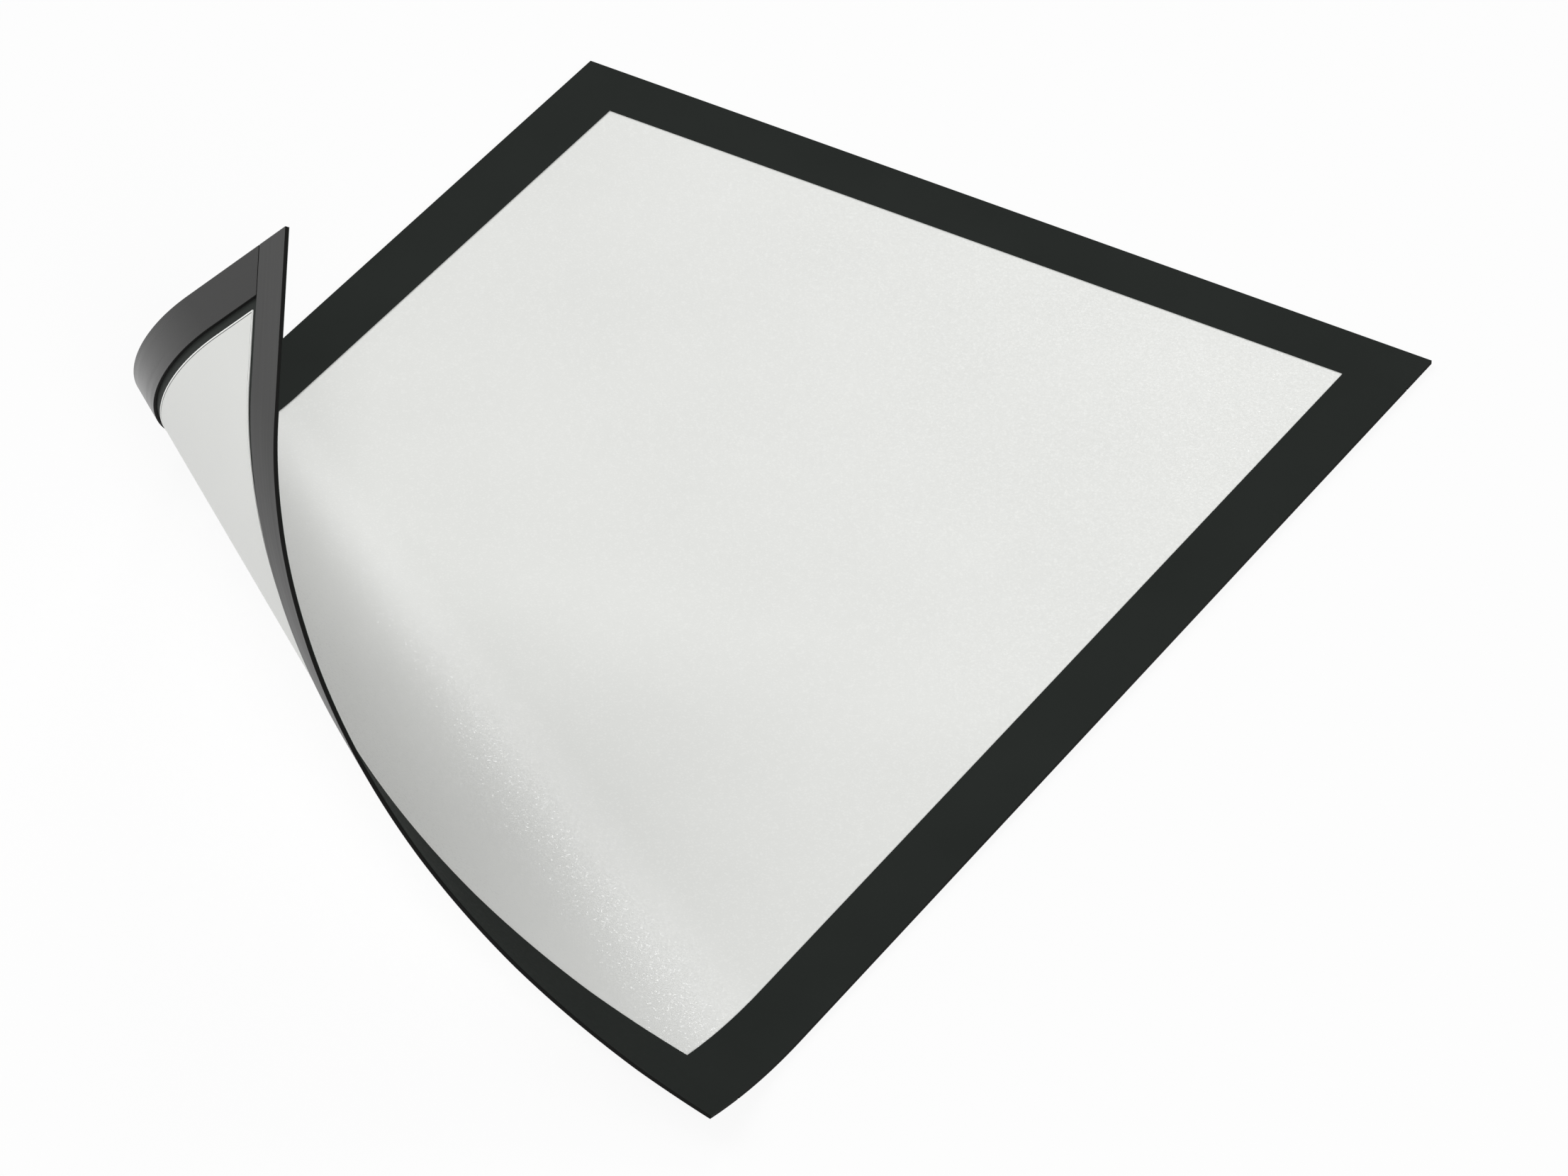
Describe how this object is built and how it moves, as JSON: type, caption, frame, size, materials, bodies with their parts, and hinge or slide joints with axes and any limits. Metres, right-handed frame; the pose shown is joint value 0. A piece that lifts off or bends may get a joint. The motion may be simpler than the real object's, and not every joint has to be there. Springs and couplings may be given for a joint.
{
  "type": "magnetic display frame",
  "caption": "Thin flexible magnetic frame for a paper sheet: black border foil, milky anti-glare window, magnetic strips on the back, and a corner that peels up to change the sheet.",
  "frame": {"origin": "middle of the flat sheet, on the surface that the magnetic strips lie on", "axes": "+X along the short side to the right, +Y along the long side towards the top, +Z out of the front face, up"},
  "size_m": [0.2365, 0.3228, 0.1171],
  "materials": {
    "border_foil": "matt black PVC foil, fine embossed grain",
    "window_film": "milky anti-glare film, finely matted, slight sparkle",
    "magnetic_strip": "satin dark grey magnetic rubber"
  },
  "bodies": {
    "panel": {"border": "border_foil", "window_film": "window_film", "magnet_top": "magnetic_strip", "magnet_left": "magnetic_strip", "magnet_right": "magnetic_strip"},
    "fold_1": {"border_left_fold_1": "border_foil", "border_lower_fold_1": "border_foil", "window_film_fold_1": "window_film", "magnet_bottom_fold_1": "magnetic_strip", "magnet_left_fold_1": "magnetic_strip", "magnet_right_fold_1": "magnetic_strip"},
    "fold_2": {"border_left_fold_2": "border_foil", "border_lower_fold_2": "border_foil", "window_film_fold_2": "window_film", "magnet_bottom_fold_2": "magnetic_strip", "magnet_left_fold_2": "magnetic_strip"},
    "fold_3": {"border_left_fold_3": "border_foil", "border_lower_fold_3": "border_foil", "window_film_fold_3": "window_film", "magnet_bottom_fold_3": "magnetic_strip", "magnet_left_fold_3": "magnetic_strip"},
    "fold_4": {"border_left_fold_4": "border_foil", "border_lower_fold_4": "border_foil", "window_film_fold_4": "window_film", "magnet_bottom_fold_4": "magnetic_strip", "magnet_left_fold_4": "magnetic_strip"},
    "fold_5": {"border_left_fold_5": "border_foil", "border_lower_fold_5": "border_foil", "window_film_fold_5": "window_film", "magnet_bottom_fold_5": "magnetic_strip", "magnet_left_fold_5": "magnetic_strip"},
    "fold_6": {"border_left_fold_6": "border_foil", "border_lower_fold_6": "border_foil", "window_film_fold_6": "window_film", "magnet_bottom_fold_6": "magnetic_strip", "magnet_left_fold_6": "magnetic_strip"},
    "fold_7": {"border_left_fold_7": "border_foil", "border_lower_fold_7": "border_foil", "window_film_fold_7": "window_film", "magnet_bottom_fold_7": "magnetic_strip", "magnet_left_fold_7": "magnetic_strip"},
    "fold_8": {"border_corner_fold_8": "border_foil", "window_film_fold_8": "window_film", "magnet_bottom_fold_8": "magnetic_strip", "magnet_left_fold_8": "magnetic_strip"}
  },
  "joints": [
    {"name": "corner_peel", "type": "hinge", "parent": "panel", "child": "fold_1", "pos_m": [-0.118, 0.01164, 0.00105], "axis": [-0.8462, 0.5329, 0], "range_deg": [-14.75, 5.25]},
    {"name": "corner_peel_2", "type": "hinge", "parent": "fold_1", "child": "fold_2", "pos_m": [-0.11779, -0.00216, 0.00409], "axis": [-0.8296, 0.5583, -0.008], "range_deg": [-14.75, 5.25]},
    {"name": "corner_peel_3", "type": "hinge", "parent": "fold_2", "child": "fold_3", "pos_m": [-0.11692, -0.01576, 0.01027], "axis": [-0.8136, 0.581, -0.0237], "range_deg": [-14.75, 5.25]},
    {"name": "corner_peel_4", "type": "hinge", "parent": "fold_3", "child": "fold_4", "pos_m": [-0.1149, -0.02848, 0.01942], "axis": [-0.7994, 0.5991, -0.046], "range_deg": [-14.75, 5.25]},
    {"name": "corner_peel_5", "type": "hinge", "parent": "fold_4", "child": "fold_5", "pos_m": [-0.11127, -0.03969, 0.03115], "axis": [-0.788, 0.6113, -0.0735], "range_deg": [-14.75, 5.25]},
    {"name": "corner_peel_6", "type": "hinge", "parent": "fold_5", "child": "fold_6", "pos_m": [-0.1056, -0.0489, 0.04485], "axis": [-0.7803, 0.6167, -0.1041], "range_deg": [-14.75, 5.25]},
    {"name": "corner_peel_7", "type": "hinge", "parent": "fold_6", "child": "fold_7", "pos_m": [-0.09754, -0.05578, 0.05976], "axis": [-0.7767, 0.6151, -0.1356], "range_deg": [-14.75, 5.25]},
    {"name": "corner_peel_8", "type": "hinge", "parent": "fold_7", "child": "fold_8", "pos_m": [-0.08687, -0.06021, 0.075], "axis": [-0.7775, 0.6067, -0.1657], "range_deg": [-14.75, 5.25]}
  ],
  "couplings": [
    {"joint": "corner_peel_2", "follows": "corner_peel", "ratio": 1},
    {"joint": "corner_peel_3", "follows": "corner_peel", "ratio": 1},
    {"joint": "corner_peel_4", "follows": "corner_peel", "ratio": 1},
    {"joint": "corner_peel_5", "follows": "corner_peel", "ratio": 1},
    {"joint": "corner_peel_6", "follows": "corner_peel", "ratio": 1},
    {"joint": "corner_peel_7", "follows": "corner_peel", "ratio": 1},
    {"joint": "corner_peel_8", "follows": "corner_peel", "ratio": 1}
  ]
}
